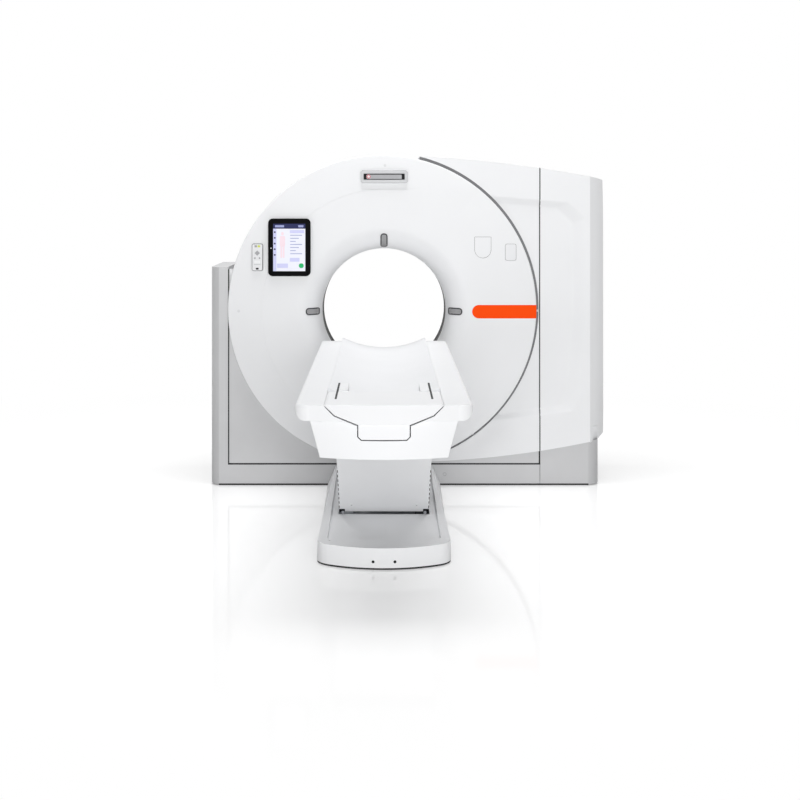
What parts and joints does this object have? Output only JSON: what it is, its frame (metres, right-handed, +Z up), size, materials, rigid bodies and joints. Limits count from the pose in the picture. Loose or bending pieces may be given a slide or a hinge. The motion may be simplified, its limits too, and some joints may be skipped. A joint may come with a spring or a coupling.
{
  "type": "ct scanner",
  "caption": "Medical scanner gantry with a round flared tunnel, side service bay and a lifting patient table with a sliding cradle",
  "frame": {"origin": "on the floor, under the point where the tunnel's axis meets the scan plane", "axes": "+Z up, +Y from the table towards the gantry along the tunnel, +X to the right of someone at the table's foot end"},
  "size_m": [2.2482, 2.978, 1.856],
  "materials": {
    "white_plastic": "moulded covers with a soft sheen",
    "cradle_shell": "laminated carbon shell with a white coat",
    "silver_paint": "fine silver-grey paint",
    "silver_plastic": "silver plastic",
    "grey_plastic": "mid-grey plastic",
    "dark_plastic": "near-black plastic",
    "orange_trim": "flat bright orange",
    "screen_glass": "lit screen",
    "key_green": "yellow-green key",
    "key_grey": "dark grey keys",
    "window_plastic": "smoked window",
    "frame_paint": "grey paint on steel",
    "bearing_steel": "ground steel",
    "motor_steel": "dark coated iron",
    "cast_aluminium": "machined casting",
    "ring_plastic": "insulating ring",
    "seal_rubber": "black rubber"
  },
  "bodies": {
    "gantry": {"front_cover": "white_plastic", "rear_cover": "white_plastic", "side_cover_front": "white_plastic", "side_cover_right": "white_plastic", "side_cover_rear": "white_plastic", "infill_panel": "white_plastic", "foot_cover": "white_plastic", "dock_lid": "white_plastic", "socket_lid": "white_plastic", "stand_cover_left": "silver_paint", "stand_cover_right": "silver_paint", "lower_front_panel": "silver_paint", "lower_rear_panel": "silver_paint", "bore_liner": "dark_plastic", "gap_strip": "grey_plastic", "accent_stripe": "orange_trim", "camera_bar": "silver_plastic", "camera_window": "dark_plastic", "tablet": "dark_plastic", "tablet_screen": "screen_glass", "remote_control": "grey_plastic", "laser_window_left": "window_plastic", "laser_window_right": "window_plastic", "laser_window_top": "window_plastic", "laser_modules": "dark_plastic", "base_frame": "frame_paint", "main_bearing": "bearing_steel", "drive_stator": "motor_steel", "brush_block": "dark_plastic", "power_unit": "frame_paint", "floor_seal": "seal_rubber", "foot_frame": "frame_paint", "lift_motor": "motor_steel"},
    "rotor": {"rotor_frame": "cast_aluminium", "slip_ring": "ring_plastic", "xray_tube": "cast_aluminium", "collimator": "motor_steel", "detector_arc": "frame_paint", "tube_cooler": "cast_aluminium", "high_voltage_generator": "frame_paint", "data_unit": "frame_paint", "counterweight": "motor_steel"},
    "front_arm": {"lower_arm": "frame_paint", "arm_cover": "white_plastic"},
    "rear_arm": {"upper_arm": "frame_paint"},
    "table": {"table_frame": "frame_paint", "guide_rails": "bearing_steel", "drive_belt": "seal_rubber", "table_lower_cover": "white_plastic", "table_top_cover": "white_plastic"},
    "cradle": {"cradle": "cradle_shell", "cradle_end_cap": "white_plastic", "carriage": "cast_aluminium", "carriage_drive": "motor_steel"},
    "key_power": {"key_power": "key_green"},
    "key_light": {"key_light": "key_grey"},
    "key_pad": {"key_pad": "key_grey"},
    "key_left": {"key_left": "key_grey"},
    "key_right": {"key_right": "key_grey"}
  },
  "joints": [
    {"name": "rotor_spin", "type": "hinge", "parent": "gantry", "child": "rotor", "pos_m": [0, 0.2, 0.98], "axis": [0, 1, 0], "continuous": true},
    {"name": "table_lift", "type": "hinge", "parent": "gantry", "child": "front_arm", "pos_m": [0, -1.175, 0.128], "axis": [-1, 0, 0], "range_deg": [-26, 3]},
    {"name": "rear_arm_swing", "type": "hinge", "parent": "gantry", "child": "rear_arm", "pos_m": [0, -0.915, 0.128], "axis": [-1, 0, 0], "range_deg": [-26, 3]},
    {"name": "table_level", "type": "hinge", "parent": "front_arm", "child": "table", "pos_m": [0, -1.78402, 0.639], "axis": [-1, 0, 0], "range_deg": [-3, 26]},
    {"name": "cradle_travel", "type": "slide", "parent": "table", "child": "cradle", "axis": [0, 1, 0], "range_m": [0, 1.5]},
    {"name": "key_power_press", "type": "slide", "parent": "gantry", "child": "key_power", "axis": [0, 1, 0], "range_m": [0, 0.001], "stiffness_N_per_m": 600},
    {"name": "key_light_press", "type": "slide", "parent": "gantry", "child": "key_light", "axis": [0, 1, 0], "range_m": [0, 0.001], "stiffness_N_per_m": 600},
    {"name": "key_pad_press", "type": "slide", "parent": "gantry", "child": "key_pad", "axis": [0, 1, 0], "range_m": [0, 0.001], "stiffness_N_per_m": 600},
    {"name": "key_left_press", "type": "slide", "parent": "gantry", "child": "key_left", "axis": [0, 1, 0], "range_m": [0, 0.001], "stiffness_N_per_m": 600},
    {"name": "key_right_press", "type": "slide", "parent": "gantry", "child": "key_right", "axis": [0, 1, 0], "range_m": [0, 0.001], "stiffness_N_per_m": 600}
  ],
  "couplings": [
    {"joint": "rear_arm_swing", "follows": "table_lift", "ratio": 1},
    {"joint": "table_level", "follows": "table_lift", "ratio": -1}
  ]
}
